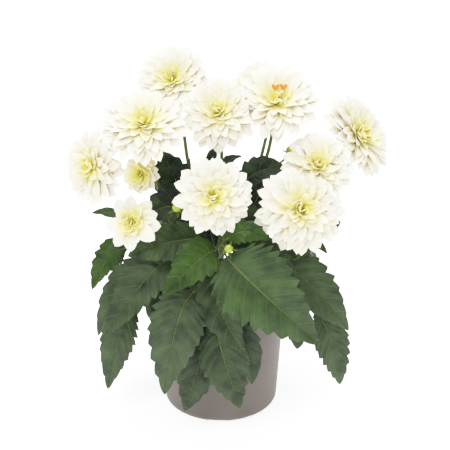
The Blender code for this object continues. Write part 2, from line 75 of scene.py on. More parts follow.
def linear(colour):
    """An sRGB hex colour as linear red, green, blue and alpha."""
    srgb = np.array([int(colour[i : i + 2], 16) for i in (1, 3, 5)]) / 255
    rgb = np.where(srgb <= 0.04045, srgb / 12.92, ((srgb + 0.055) / 1.055) ** 2.4)
    return (*rgb.tolist(), 1.0)


def add_node(tree, kind, inputs=(), stops=(), **settings):
    """Adds a node. Inputs map a socket to its value or to the output linked to it, stops fill a colour ramp."""
    made = tree.nodes.new(kind)
    for setting, value in settings.items():
        setattr(made, setting, value)
    for socket, value in dict(inputs).items():
        if isinstance(value, bpy.types.NodeSocket):
            tree.links.new(value, made.inputs[socket])
        else:
            made.inputs[socket].default_value = value
    for i, (place, colour) in enumerate(stops):
        elements = made.color_ramp.elements
        stop = elements[i] if i < 2 else elements.new(place)
        stop.position = place
        stop.color = linear(colour)
    return made


def new_material(name, values):
    """A material, as its node tree and its Principled shader with these values set on its sockets."""
    made = bpy.data.materials.new(name)
    made.use_nodes = True
    shader = made.node_tree.nodes["Principled BSDF"]
    for socket, value in values.items():
        shader.inputs[socket].default_value = value
    return made, made.node_tree, shader


acrylic, tree, shader = new_material(
    "matt_white_acrylic",
    {"Roughness": 0.9, "Emission Color": linear("#FFFFFF"), "Emission Strength": TABLE_GLOW},
)
haze = add_node(tree, "ShaderNodeTexNoise", {"Scale": 40, "Detail": 2})
tint = add_node(
    tree,
    "ShaderNodeValToRGB",
    {"Fac": haze.outputs["Fac"]},
    stops=[(0.3, TABLE_WHITE), (0.7, "#FBFBFB")],
)
tree.links.new(tint.outputs["Color"], shader.inputs["Base Color"])

floor_mesh = bpy.data.meshes.new("studio_floor")
side = TABLE_SIZE / 2
floor_mesh.from_pydata([(-side, -side, 0), (side, -side, 0), (side, side, 0), (-side, side, 0)], [], [(0, 1, 2, 3)])
floor_mesh.materials.append(acrylic)
studio_floor = bpy.data.objects.new("studio_floor", floor_mesh)
bpy.context.scene.collection.objects.link(studio_floor)

surround = bpy.data.worlds.new("white_surround")
surround.use_nodes = True
surround.node_tree.nodes["Background"].inputs["Color"].default_value = linear("#FFFFFF")
surround.node_tree.nodes["Background"].inputs["Strength"].default_value = SURROUND_LIGHT
bpy.context.scene.world = surround

# The camera's response: true up to a middle tone, then bending over to white, so that white petals keep
# their shading in a bright picture. Each pair is a light level and how bright it is shown.
RESPONSE = [(0.45, 0.45), (0.8, 0.73), (1.25, 0.91), (1.8, 1.0)]

picture = bpy.context.scene.view_settings
picture.view_transform = "Standard"
picture.use_curve_mapping = True
picture.curve_mapping.clip_max_x = RESPONSE[-1][0]
curve = picture.curve_mapping.curves[3]
curve.points[1].location = RESPONSE[-1]
for level, shown in RESPONSE[:-1]:
    curve.points.new(level, shown)
picture.curve_mapping.update()

# Each soft box: its place, size and power in watts. All point at the middle of the plant.
SOFT_BOXES = {
    "overhead_soft_box": ((0.1, 0.2, 2.1), 1.2, 32),
    "key_soft_box": ((-0.7, -1.3, 1.7), 1.0, 20),
    "fill_soft_box": ((1.6, 0.2, 1.5), 1.0, 5),
}
for name, (place, size, power) in SOFT_BOXES.items():
    light_data = bpy.data.lights.new(name, "AREA")
    light_data.size = size
    light_data.energy = power
    light = bpy.data.objects.new(name, light_data)
    bpy.context.scene.collection.objects.link(light)
    light.location = place
    aim = light.location.__class__(CAMERA_TARGET) - light.location
    light.rotation_euler = aim.to_track_quat("-Z", "Y").to_euler()


# The pot: a 14 cm round nursery pot of taupe polypropylene, injection moulded with a turned-down lip,
# a rounded foot and drain channels under its edge. Moulding leaves it satin, with a very fine grain.
POT_HEIGHT = 115 * MM
POT_BASE_RADIUS = 59.6 * MM
POT_TAPER = 0.068
POT_WALL = 1.3 * MM
POT_FLOOR = 3.0 * MM
POT_CORNER = 8 * MM
LIP_DEPTH = 11 * MM
LIP_REACH = 3.2 * MM
LIP_ROUNDING = 1.2 * MM
POT_COLUMNS = 160
DRAIN_COUNT = 5
WIDE_DRAIN = 18 * MM
NARROW_DRAIN = 5 * MM
DRAIN_DEPTH = 3 * MM
DRAIN_EDGE = 0.4 * MM
FRONT_DRAIN_TURN = math.radians(-94)


def arc(centre, radius, first, last, steps):
    """Points of a circle's arc in (radius, height), from one angle to the other in degrees."""
    turn = np.radians(np.linspace(first, last, steps + 1))
    return np.array(centre) + radius * np.stack([np.cos(turn), np.sin(turn)], axis=-1)


def surface(name, grids, material, smooth_under=50):
    """One closed mesh from grids of points, each pieces x rows x columns x 3.

    A grid is a dict of its "points" and of marks on them. Its last column joins its first, and a row
    whose points all meet, or meet in pairs, closes an end. The mark "place" becomes the UV map and
    every other mark a number on each point. Faces are turned to point outwards.
    """
    points, quads, marks, first = [], [], {}, 0
    for grid in grids:
        at = grid["points"]
        index = first + np.arange(at[..., 0].size).reshape(at.shape[:3])
        beside = np.roll(index, -1, axis=2)
        faces = np.stack([index[:, :-1], beside[:, :-1], beside[:, 1:], index[:, 1:]], axis=-1).reshape(-1, 4)
        flat = at.reshape(-1, 3)
        a, b, c, d = (flat[faces[:, k] - first] for k in range(4))
        volume = (np.cross(a, b) * c).sum() + (np.cross(a, c) * d).sum()
        points.append(flat)
        quads.append(faces if volume > 0 else faces[:, ::-1])
        for mark in grid:
            if mark != "points":
                marks.setdefault(mark, []).append((first, grid[mark].reshape(len(flat), -1)))
        first += len(flat)
    points, quads = np.concatenate(points), np.concatenate(quads)
    mesh = bpy.data.meshes.new(name)
    mesh.vertices.add(len(points))
    mesh.vertices.foreach_set("co", points.astype(np.float32).ravel())
    mesh.loops.add(quads.size)
    mesh.loops.foreach_set("vertex_index", quads.astype(np.int32).ravel())
    mesh.polygons.add(len(quads))
    mesh.polygons.foreach_set("loop_start", np.arange(0, quads.size, 4, dtype=np.int32))
    mesh.update(calc_edges=True)
    for mark, parts in marks.items():
        width = parts[0][1].shape[1]
        values = np.zeros((len(points), width), np.float32)
        for start, part in parts:
            values[start : start + len(part)] = part
        if mark == "place":
            layer = mesh.uv_layers.new(name=mark)
            layer.data.foreach_set("uv", values[quads.ravel()].ravel())
        else:
            mesh.attributes.new(mark, "FLOAT", "POINT").data.foreach_set("value", values.ravel())
    merged = bmesh.new()
    merged.from_mesh(mesh)
    bmesh.ops.remove_doubles(merged, verts=merged.verts, dist=1e-6)
    merged.to_mesh(mesh)
    merged.free()
    mesh.polygons.foreach_set("use_smooth", np.ones(len(mesh.polygons), bool))
    mesh.set_sharp_from_angle(angle=math.radians(smooth_under))
    mesh.materials.append(material)
    made = bpy.data.objects.new(name, mesh)
    bpy.context.scene.collection.objects.link(made)
    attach(made, "root")
    return made


def turned(profile, turns):
    """A grid turned about Z: each row is a circle with the profile's radius and height."""
    radius, height = profile[:, :1], profile[:, 1:]
    circle = [radius * np.cos(turns), radius * np.sin(turns), height + 0 * turns]
    return np.stack(circle, axis=-1)[None]


def pot_radius(height):
    return POT_BASE_RADIUS + POT_TAPER * height


def drain_turns():
    """The middle angle and half angle of each drain channel, wide and narrow ones in turn."""
    middles = FRONT_DRAIN_TURN + math.pi * np.arange(2 * DRAIN_COUNT) / DRAIN_COUNT
    widths = np.where(np.arange(2 * DRAIN_COUNT) % 2, NARROW_DRAIN, WIDE_DRAIN)
    return middles, widths / 2 / POT_BASE_RADIUS


def pot_profile():
    """The shell's outline from the middle of its floor, up inside, over the lip and down to its base."""
    lip_radius = pot_radius(POT_HEIGHT) + LIP_REACH
    under_lip = POT_HEIGHT - LIP_DEPTH
    skirt = pot_radius(under_lip) + LIP_REACH - 0.4 * MM
    inner_top = pot_radius(POT_HEIGHT) - POT_WALL
    rise = np.linspace(POT_CORNER + 1 * MM, POT_HEIGHT - 3 * MM, 8)
    inside = np.stack([pot_radius(rise) - POT_WALL, rise], axis=-1)
    fall = np.linspace(under_lip, POT_CORNER, 10)
    outside = np.stack([pot_radius(fall), fall], axis=-1)
    foot_centre = (pot_radius(POT_CORNER) - POT_CORNER, POT_CORNER)
    return np.concatenate(
        [
            [(0, POT_FLOOR), (pot_radius(POT_FLOOR) - POT_CORNER, POT_FLOOR)],
            inside,
            arc((inner_top + LIP_ROUNDING, POT_HEIGHT - LIP_ROUNDING), LIP_ROUNDING, 180, 90, 4),
            arc((lip_radius - LIP_ROUNDING, POT_HEIGHT - LIP_ROUNDING), LIP_ROUNDING, 90, 0, 4),
            arc((skirt - 0.6 * MM, under_lip + 0.6 * MM), 0.6 * MM, 0, -90, 3),
            outside,
            arc(foot_centre, POT_CORNER, 0, -90, 9)[1:],
            [(pot_radius(0) - 12 * MM, 0), (0, 0)],
        ]
    )


def make_pot_grid():
    """The turned shell, with the points under its edge raised by the drains' depth inside each channel."""
    middles, halves = drain_turns()
    edges = DRAIN_EDGE / POT_BASE_RADIUS
    marks = [middles + side * halves + shift for side in (-1, 1) for shift in (-edges, 0, edges)]
    even = np.linspace(0, 2 * math.pi, POT_COLUMNS, endpoint=False)
    turns = np.unique(np.round(np.concatenate([even, *marks]) % (2 * math.pi), 5))
    points = turned(pot_profile(), turns)
    away = np.abs((turns[:, None] - middles + math.pi) % (2 * math.pi) - math.pi)
    inside = np.clip((halves + edges - away) / edges, 0, 1).max(axis=1)
    radius = np.hypot(points[..., 0], points[..., 1])
    under = (points[..., 2] < DRAIN_DEPTH) & (radius > pot_radius(0) - 14 * MM)
    points[..., 2] = np.where(under, points[..., 2] + (DRAIN_DEPTH - points[..., 2]) * inside, points[..., 2])
    return {"points": points}


# Taupe polypropylene keeps a dull sheen. A faint cloudiness comes from the recycled resin, and the
# moulding grain, really about 0.05 mm, is drawn at 0.5 mm so that it shows.
pot_plastic, tree, shader = new_material("moulded_polypropylene", {"Specular IOR Level": 0.5})
where = add_node(tree, "ShaderNodeTexCoord")
cloud = add_node(tree, "ShaderNodeTexNoise", {"Vector": where.outputs["Object"], "Scale": 28, "Detail": 3})
tint = add_node(
    tree,
    "ShaderNodeValToRGB",
    {"Fac": cloud.outputs["Fac"]},
    stops=[(0.35, "#5F5650"), (0.65, "#675E58")],
)
grain = add_node(tree, "ShaderNodeTexNoise", {"Vector": where.outputs["Object"], "Scale": 2000, "Detail": 1})
gloss = add_node(
    tree,
    "ShaderNodeMapRange",
    {"Value": cloud.outputs["Fac"], "To Min": 0.42, "To Max": 0.56},
)
relief = add_node(
    tree,
    "ShaderNodeBump",
    {"Height": grain.outputs["Fac"], "Strength": 0.15, "Distance": 0.05 * MM},
)
tree.links.new(tint.outputs["Color"], shader.inputs["Base Color"])
tree.links.new(gloss.outputs["Result"], shader.inputs["Roughness"])
tree.links.new(relief.outputs["Normal"], shader.inputs["Normal"])

nursery_pot = surface("nursery_pot", [make_pot_grid()], pot_plastic, 35)
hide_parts("pot")


# The soil: dark peat compost pressed in by hand to a finger's width under the lip, crowned in the middle,
# lumpy with crumbs of peat and bark that lie loose on top.
GAP = 0.3 * MM
SOIL_LEVEL = 100 * MM
SOIL_CROWN = 4 * MM
SOIL_COLUMNS = 120
SOIL_LUMP = 1.1 * MM
CRUMB_COUNT = 900
CRUMB_SIZES = (0.7 * MM, 2.2 * MM)


def lumps(x, y, seed):
    """Soft uneven ground: the mean of waves with lengths from 5 to 24 mm, running in random directions."""
    chance = np.random.default_rng(seed)
    length = chance.uniform(5 * MM, 24 * MM, 28)
    turn, phase = chance.uniform(0, 2 * math.pi, (2, 28))
    along = x[..., None] * np.cos(turn) + y[..., None] * np.sin(turn)
    return np.sin(2 * math.pi * along / length + phase).sum(axis=-1) / math.sqrt(28)


def soil_top(x, y):
    """The height of the soil's top at a point: a crown that falls to the rim, with lumps on it."""
    rim = pot_radius(SOIL_LEVEL) - POT_WALL - GAP
    share = np.clip(np.hypot(x, y) / rim, 0, 1)
    crown = SOIL_LEVEL + SOIL_CROWN * (1 - share**2)
    return crown + SOIL_LUMP * lumps(x, y, 5) * np.clip((1 - share) * 12, 0, 1)


def make_soil_grid():
    """The soil's body: its lumpy top out to the pot's wall, down the wall and back under."""
    rim = pot_radius(SOIL_LEVEL) - POT_WALL - GAP
    top = np.stack([np.linspace(0, rim, 44), np.full(44, SOIL_LEVEL)], axis=-1)
    corner = pot_radius(POT_CORNER) - POT_WALL - 2 * GAP
    floor_height = POT_FLOOR + GAP
    under = [(corner, POT_CORNER + 2 * MM), (pot_radius(POT_FLOOR) - POT_CORNER - 1 * MM, floor_height)]
    profile = np.concatenate([top, under, [(0, floor_height)]])
    points = turned(profile, np.linspace(0, 2 * math.pi, SOIL_COLUMNS, endpoint=False))
    points[:, :44, :, 2] = soil_top(points[:, :44, :, 0], points[:, :44, :, 1])
    return {"points": points}


def make_crumb_grid():
    """Loose crumbs: small balls of six sides and five rows, each squashed and dented at random."""
    chance = np.random.default_rng(11)
    rim = pot_radius(SOIL_LEVEL) - POT_WALL - 3 * MM
    far = rim * np.sqrt(chance.uniform(0, 1, CRUMB_COUNT))
    turn = chance.uniform(0, 2 * math.pi, CRUMB_COUNT)
    x, y = far * np.cos(turn), far * np.sin(turn)
    size = CRUMB_SIZES[0] + (CRUMB_SIZES[1] - CRUMB_SIZES[0]) * chance.uniform(0, 1, CRUMB_COUNT) ** 3
    centre = np.stack([x, y, soil_top(x, y) + 0.2 * size], axis=-1)
    down, round_ = np.linspace(0, math.pi, 6)[:, None], np.linspace(0, 2 * math.pi, 6, endpoint=False)
    ball = np.stack([np.sin(down) * np.cos(round_), np.sin(down) * np.sin(round_), np.cos(down) + 0 * round_], -1)
    squash = size[:, None] * chance.uniform(0.6, 1.1, (CRUMB_COUNT, 3))
    dents = chance.uniform(0.8, 1.15, (CRUMB_COUNT, 6, 6, 1))
    dents[:, [0, -1]] = 1
    return {"points": centre[:, None, None] + squash[:, None, None] * ball * dents}


# Damp peat is nearly black and has no gloss. Its fibres and fines, under 1 mm, are in the noise.
soil_peat, tree, shader = new_material("damp_peat_compost", {"Roughness": 0.95})
where = add_node(tree, "ShaderNodeTexCoord")
fines = add_node(tree, "ShaderNodeTexNoise", {"Vector": where.outputs["Object"], "Scale": 900, "Detail": 4})
patches = add_node(tree, "ShaderNodeTexNoise", {"Vector": where.outputs["Object"], "Scale": 110, "Detail": 3})
mixed = add_node(
    tree,
    "ShaderNodeMath",
    {0: fines.outputs["Fac"], 1: patches.outputs["Fac"]},
    operation="MULTIPLY",
)
tint = add_node(
    tree,
    "ShaderNodeValToRGB",
    {"Fac": mixed.outputs["Value"]},
    stops=[(0.12, "#1B130D"), (0.42, "#4A3828"), (0.27, "#2E221A")],
)
relief = add_node(
    tree,
    "ShaderNodeBump",
    {"Height": fines.outputs["Fac"], "Strength": 0.8, "Distance": 0.6 * MM},
)
tree.links.new(tint.outputs["Color"], shader.inputs["Base Color"])
tree.links.new(relief.outputs["Normal"], shader.inputs["Normal"])

peat = surface("peat", [make_soil_grid(), make_crumb_grid()], soil_peat, 80)
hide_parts("soil")


# The blooms: double flowers of about eighty petals on a green receptacle, by the golden angle. The outer
# petals lie open or bend back, the inner ones are shorter and more rolled, and the middle is still closed.
# Each line: heart of the face, the way that it faces (turn from -Y towards +X, and tilt up), radius,
# how far the outer petals stand up (below 0 they bend back), petals, and how many lie open round the heart
# of one that is only half open.
BLOOMS = {
    "bloom_01_back_left": ((-52, 50, 349), (-12, 36), 41, 0.00, 78, None),
    "bloom_02_upper_left": ((-76, -45, 339), (-4, 54), 48, -0.08, 88, None),
    "bloom_03_upper_middle": ((-3, -15, 335), (-6, 37), 43, -0.04, 84, None),
    "bloom_04_far_left": ((-140, -8, 270), (-41, 16), 43, -0.10, 78, None),
    "bloom_05_middle": ((-5, -95, 274), (8, 24), 42, -0.04, 84, None),
    "bloom_06_half_open_left": ((-89, -75, 239), (-14, 30), 30, 0.06, 44, 9),
    "bloom_07_upper_right": ((57, 0, 344), (4, 47), 47, 0.10, 80, None),
    "bloom_08_back_middle": ((23, 66, 331), (-60, 40), 44, 0.06, 80, None),
    "bloom_09_right": ((98, -35, 287), (4, 42), 40, 0.00, 82, None),
    "bloom_10_lower_right": ((79, -85, 259), (4, 32), 48, -0.08, 96, None),
    "bloom_11_far_right": ((152, 22, 299), (54, 34), 49, 0.06, 88, None),
    "bloom_12_small_left": ((-82, -28, 271), (-22, 28), 22, 0.12, 50, None),
}
GOLDEN_ANGLE = math.radians(137.508)
PETAL_ROWS = 7
PETAL_COLUMNS = 5
PETAL_THICKNESS = 0.4 * MM
BLOOM_GAP = 0.8 * MM
CORE_BACK = 6 * MM

# The width of a petal in a bloom of this radius or more. A pair is for the outermost petal and the innermost.
FULL_RADIUS = 30 * MM
PETAL_WIDTHS = (17.5 * MM, 7.5 * MM)

# A bloom of less than this radius has more lemon in its heart.
YOUNG_RADIUS = 40 * MM
YOUNG_LEMON = 0.7

# Shares of the bloom's radius.
CORE_SHARE = 0.21
HEART_HEIGHT = 0.40
INNER_REACH = 0.015
INNER_RISE = 0.44
PETAL_LIFTS = (0.06, -0.02)
ROOT_TURNS = (math.radians(92), math.radians(10))
ROOT_DEPTH = 0.50


def unit(vectors):
    return vectors / np.linalg.norm(vectors, axis=-1, keepdims=True)


def facing(turn, tilt):
    """The unit vector that is turned this many degrees from -Y towards +X and tilted up."""
    turn, tilt = math.radians(turn), math.radians(tilt)
    return np.array([math.sin(turn) * math.cos(tilt), -math.cos(turn) * math.cos(tilt), math.sin(tilt)])


def between(pair, share):
    return pair[0] + (pair[1] - pair[0]) * share


def both_sides(values):
    """Marks of a blade's middle surface, repeated for its upper and lower side and for its closed ends."""
    loop = np.concatenate([values, values[..., ::-1]], axis=-1)
    return np.concatenate([loop[..., :1, :], loop, loop[..., -1:, :]], axis=-2)


def blade(points, thickness, **marks):
    """A thin closed petal or leaf from its middle surface, with the given marks and which side is under.

    The surface is moved half the thickness each way along its own normal. The two sides are joined round
    the rim, and a row on the middle surface closes each end.
    """
    normal = unit(np.cross(np.gradient(points, axis=-3), np.gradient(points, axis=-2)))
    upper, lower = points + normal * thickness / 2, points - normal * thickness / 2
    loop = np.concatenate([upper, lower[..., ::-1, :]], axis=-2)
    ends = np.concatenate([points, points[..., ::-1, :]], axis=-2)
    under = both_sides(np.zeros(points.shape[:-1]))
    under[..., points.shape[-2] :] = 1
    return {
        "points": np.concatenate([ends[..., :1, :, :], loop, ends[..., -1:, :, :]], axis=-3),
        "under": under,
        **{name: both_sides(np.broadcast_to(values, points.shape[:-1])) for name, values in marks.items()},
    }


def place_mark(along, across):
    """The UV place of a blade's points from how far along and how far across each one is."""
    return np.stack([both_sides(along), both_sides(across)], axis=-1)


def bloom_core(name):
    """The middle of a bloom's receptacle, and the axis that its petals spread from."""
    heart, turns, radius = BLOOMS[name][:3]
    axis = facing(*turns)
    return np.array(heart) * MM - axis * HEART_HEIGHT * radius * MM, axis


def bloom_planes(name):
    """Planes between this bloom and its neighbours, which its petals bend clear of."""
    core, radius = bloom_core(name)[0], BLOOMS[name][2]
    planes = []
    for other in BLOOMS:
        away = bloom_core(other)[0] - core
        both = radius + BLOOMS[other][2]
        distance = np.linalg.norm(away)
        if other != name and distance < 1.1 * both * MM:
            planes.append((core + away * radius / both, away / distance))
    return planes


def bent_clear(points, planes):
    """Petals whose rows are moved, each as a whole, to their own bloom's side of every plane."""
    for origin, normal in planes:
        past = ((points - origin) @ normal).max(axis=-1, keepdims=True) + BLOOM_GAP / 2
        points = points - np.maximum(past, 0)[..., None] * normal
    return points


def petal_shares(count, open_ring):
    """How far in each petal stands, from 0 outside to 1 at the heart. A half-open bloom has a ring and a heart."""
    if open_ring is None:
        return np.arange(count) / (count - 1)
    return np.concatenate([np.linspace(0, 0.16, open_ring), np.linspace(0.68, 1, count - open_ring)])


def make_petal_grid(name, seed):
    """Every petal of a bloom.

    A petal's midline is a parabola from its root in the receptacle to its tip on the bloom's envelope,
    arched forward in the outer petals and inward in the inner ones. Across it the blade is cupped, and its
    half width grows from a narrow foot and closes in a blunt point.
    """
    heart, turns, radius, rise, count, open_ring = BLOOMS[name]
    radius *= MM
    core, axis = bloom_core(name)
    chance = np.random.default_rng(seed)
    right = unit(np.cross([0, 0, 1], axis))
    up = np.cross(axis, right)
    share = petal_shares(count, open_ring)[:, None]
    turn = np.arange(count)[:, None] * GOLDEN_ANGLE + chance.normal(0, 1, (count, 1)) * (0.05 + 0.12 * share)
    out = right * np.cos(turn) + up * np.sin(turn)
    side = np.cross(axis, out)
    reach = radius * (1 - (1 - INNER_REACH) * share**1.6) ** 0.8 * chance.uniform(0.94, 1.0, (count, 1))
    height = radius * (rise + (INNER_RISE - rise) * share**0.9) + radius * chance.normal(0, 0.02, (count, 1))
    root_turn = between(ROOT_TURNS, share)
    root = core + (out * np.sin(root_turn) + axis * np.cos(root_turn)) * radius * CORE_SHARE * ROOT_DEPTH
    astray = radius * 0.07 * share * chance.normal(0, 1, (count, 2))
    tip = core + out * (reach + astray[:, :1]) + side * astray[:, 1:] + axis * height
    arch = np.cross(unit(tip - root), side)
    middle = root + 0.62 * (tip - root) + arch * radius * 2.2 * between(PETAL_LIFTS, share)

    u = np.linspace(0, 1, PETAL_ROWS)[None, :, None] ** 0.8
    v = np.linspace(-1, 1, PETAL_COLUMNS)
    root, middle, tip, side = (vector[:, None] for vector in (root, middle, tip, side))
    midline = root * (1 - u) ** 2 + middle * 2 * u * (1 - u) + tip * u**2
    forward = unit((middle - root) * (1 - u) + (tip - middle) * u)
    normal = np.cross(forward, side)
    roll = chance.normal(0, 0.16, (count, 1, 1)) * u
    across = side * np.cos(roll) + normal * np.sin(roll)
    normal = np.cross(forward, across)

    outline = (0.30 + 0.70 * np.sin(np.minimum(u / 0.6, 1) * math.pi / 2)) * (1 - u**3.6) ** 0.8 + 0.02
    share = share[:, None]
    width = between(PETAL_WIDTHS, share) * min(1, radius / FULL_RADIUS) * chance.uniform(0.92, 1.08, (count, 1, 1))
    half = width / 2 * outline
    cup = (0.30 + 0.10 * share) * (1.25 - 0.65 * u) * chance.uniform(0.7, 1.3, (count, 1, 1))
    spread = np.sin(v * cup * 1.4) / np.sin(cup * 1.4)
    lift = (1 - np.cos(v * cup * 1.4)) / np.sin(cup * 1.4)
    tip_curl = radius * (0.05 * share - 0.035) * u**6
    points = (
        midline[:, :, None]
        + across[:, :, None] * (half * spread)[..., None]
        + normal[:, :, None] * (half * lift + tip_curl)[..., None]
    )
    points = bent_clear(points, bloom_planes(name))
    shape = points.shape[:-1]
    along, edge = np.broadcast_to(u, shape), np.broadcast_to(v, shape)
    lemon = 0.04 + 0.34 * share**2.5 + (0.22 + 0.42 * share) * (1 - u) ** 1.7
    lemon = lemon + YOUNG_LEMON * np.clip(1 - radius / YOUNG_RADIUS, 0, 1) * np.sqrt(share)
    tone = chance.uniform(0, 1, (count, 1, 1))
    grid = blade(points, PETAL_THICKNESS, lemon=np.clip(lemon, 0, 1), tone=tone)
    grid["place"] = place_mark(along, edge)
    return grid


def make_receptacle_grid(name):
    """The small green dome that the petals stand on: a ball flattened at the back."""
    radius = BLOOMS[name][2] * MM
    core, axis = bloom_core(name)
    right = unit(np.cross([0, 0, 1], axis))
    up = np.cross(axis, right)
    down, round_ = np.linspace(0, math.pi, 9)[:, None], np.linspace(0, 2 * math.pi, 16, endpoint=False)
    size = radius * CORE_SHARE * 0.8
    flat = size * np.sin(down)
    points = core + (flat * np.cos(round_))[..., None] * right + (flat * np.sin(round_))[..., None] * up
    points = points + (np.maximum(size * np.cos(down), -CORE_BACK) + 0 * round_)[..., None] * axis
    full = np.ones(points.shape[:-1])[None]
    return {
        "points": points[None],
        "under": 0 * full,
        "lemon": full,
        "tone": 0.5 * full,
        "place": np.stack([0 * full, 0 * full], axis=-1),
    }


# A dahlia petal is thin, soft and full of air, so it glows a little and has no gloss. Cream passes to lemon
# and then to yellow green at its foot. Fine veins run its length, really 0.3 mm apart and drawn at 1 mm.
petal, tree, shader = new_material(
    "dahlia_petal",
    {
        "Roughness": 0.55,
        "Subsurface Weight": 0.9,
        "Subsurface Radius": (1, 1, 1),
        "Subsurface Scale": 0.3 * MM,
        "Sheen Weight": 0.15,
        "Specular IOR Level": 0.3,
    },
)
lemon = add_node(tree, "ShaderNodeAttribute", attribute_name="lemon")
tone = add_node(tree, "ShaderNodeAttribute", attribute_name="tone")
along = add_node(tree, "ShaderNodeUVMap", uv_map="place")
stretched = add_node(
    tree,
    "ShaderNodeMapping",
    {"Vector": along.outputs["UV"], "Scale": (1.5, 9, 1)},
)
veins = add_node(
    tree,
    "ShaderNodeTexNoise",
    {"Vector": stretched.outputs["Vector"], "Scale": 1.6, "Detail": 3},
    noise_dimensions="2D",
)
warmth = add_node(
    tree,
    "ShaderNodeMapRange",
    {"Value": tone.outputs["Fac"], "To Min": -0.05, "To Max": 0.07},
)
streak = add_node(
    tree,
    "ShaderNodeMapRange",
    {"Value": veins.outputs["Fac"], "To Min": -0.07, "To Max": 0.07},
)
tinted = add_node(tree, "ShaderNodeMath", {0: lemon.outputs["Fac"], 1: warmth.outputs["Result"]}, operation="ADD")
tinted = add_node(tree, "ShaderNodeMath", {0: tinted.outputs["Value"], 1: streak.outputs["Result"]}, operation="ADD")
tint = add_node(
    tree,
    "ShaderNodeValToRGB",
    {"Fac": tinted.outputs["Value"]},
    stops=[
        (0.0, "#FDF4EB"),
        (1.0, "#C6BF34"),
        (0.25, "#FCF2D6"),
        (0.50, "#FAF1AC"),
        (0.75, "#F3EA72"),
    ],
)
relief = add_node(
    tree,
    "ShaderNodeBump",
    {"Height": veins.outputs["Fac"], "Strength": 0.35, "Distance": 0.4 * MM},
)
tree.links.new(tint.outputs["Color"], shader.inputs["Base Color"])
tree.links.new(relief.outputs["Normal"], shader.inputs["Normal"])

for seed, name in enumerate(BLOOMS):
    bloom = surface(name.replace("bloom", "flower"), [make_petal_grid(name, seed), make_receptacle_grid(name)], petal)
    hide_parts(name)


# The stems: five fleshy green shoots from one crown. Each carries the flower stalks with their calyxes and
# the leaf stalks, which part from it at slightly swollen joints.
# Each line: the stem's points from its root upwards, and the height at which each bloom's stalk leaves it.
SHOOTS = {
    "shoot_left": (
        [(-26, -10, 75), (-26, -10, 106), (-34, -15, 165), (-42, -20, 222)],
        {"bloom_02_upper_left": 200, "bloom_12_small_left": 214, "bloom_06_half_open_left": 190},
    ),
    "shoot_back_left": (
        [(-16, 24, 75), (-16, 24, 106), (-26, 29, 185), (-34, 36, 262)],
        {"bloom_01_back_left": 250, "bloom_04_far_left": 190},
    ),
    "shoot_front": (
        [(0, -28, 75), (0, -28, 106), (1, -38, 165), (0, -48, 222)],
        {"bloom_03_upper_middle": 205, "bloom_05_middle": 215},
    ),
    "shoot_right": (
        [(28, -12, 75), (28, -12, 106), (38, -19, 165), (52, -26, 232)],
        {"bloom_09_right": 220, "bloom_10_lower_right": 205},
    ),
    "shoot_back_right": (
        [(20, 22, 75), (20, 22, 106), (30, 28, 180), (40, 30, 255)],
        {"bloom_07_upper_right": 245, "bloom_08_back_middle": 232, "bloom_11_far_right": 196},
    ),
}

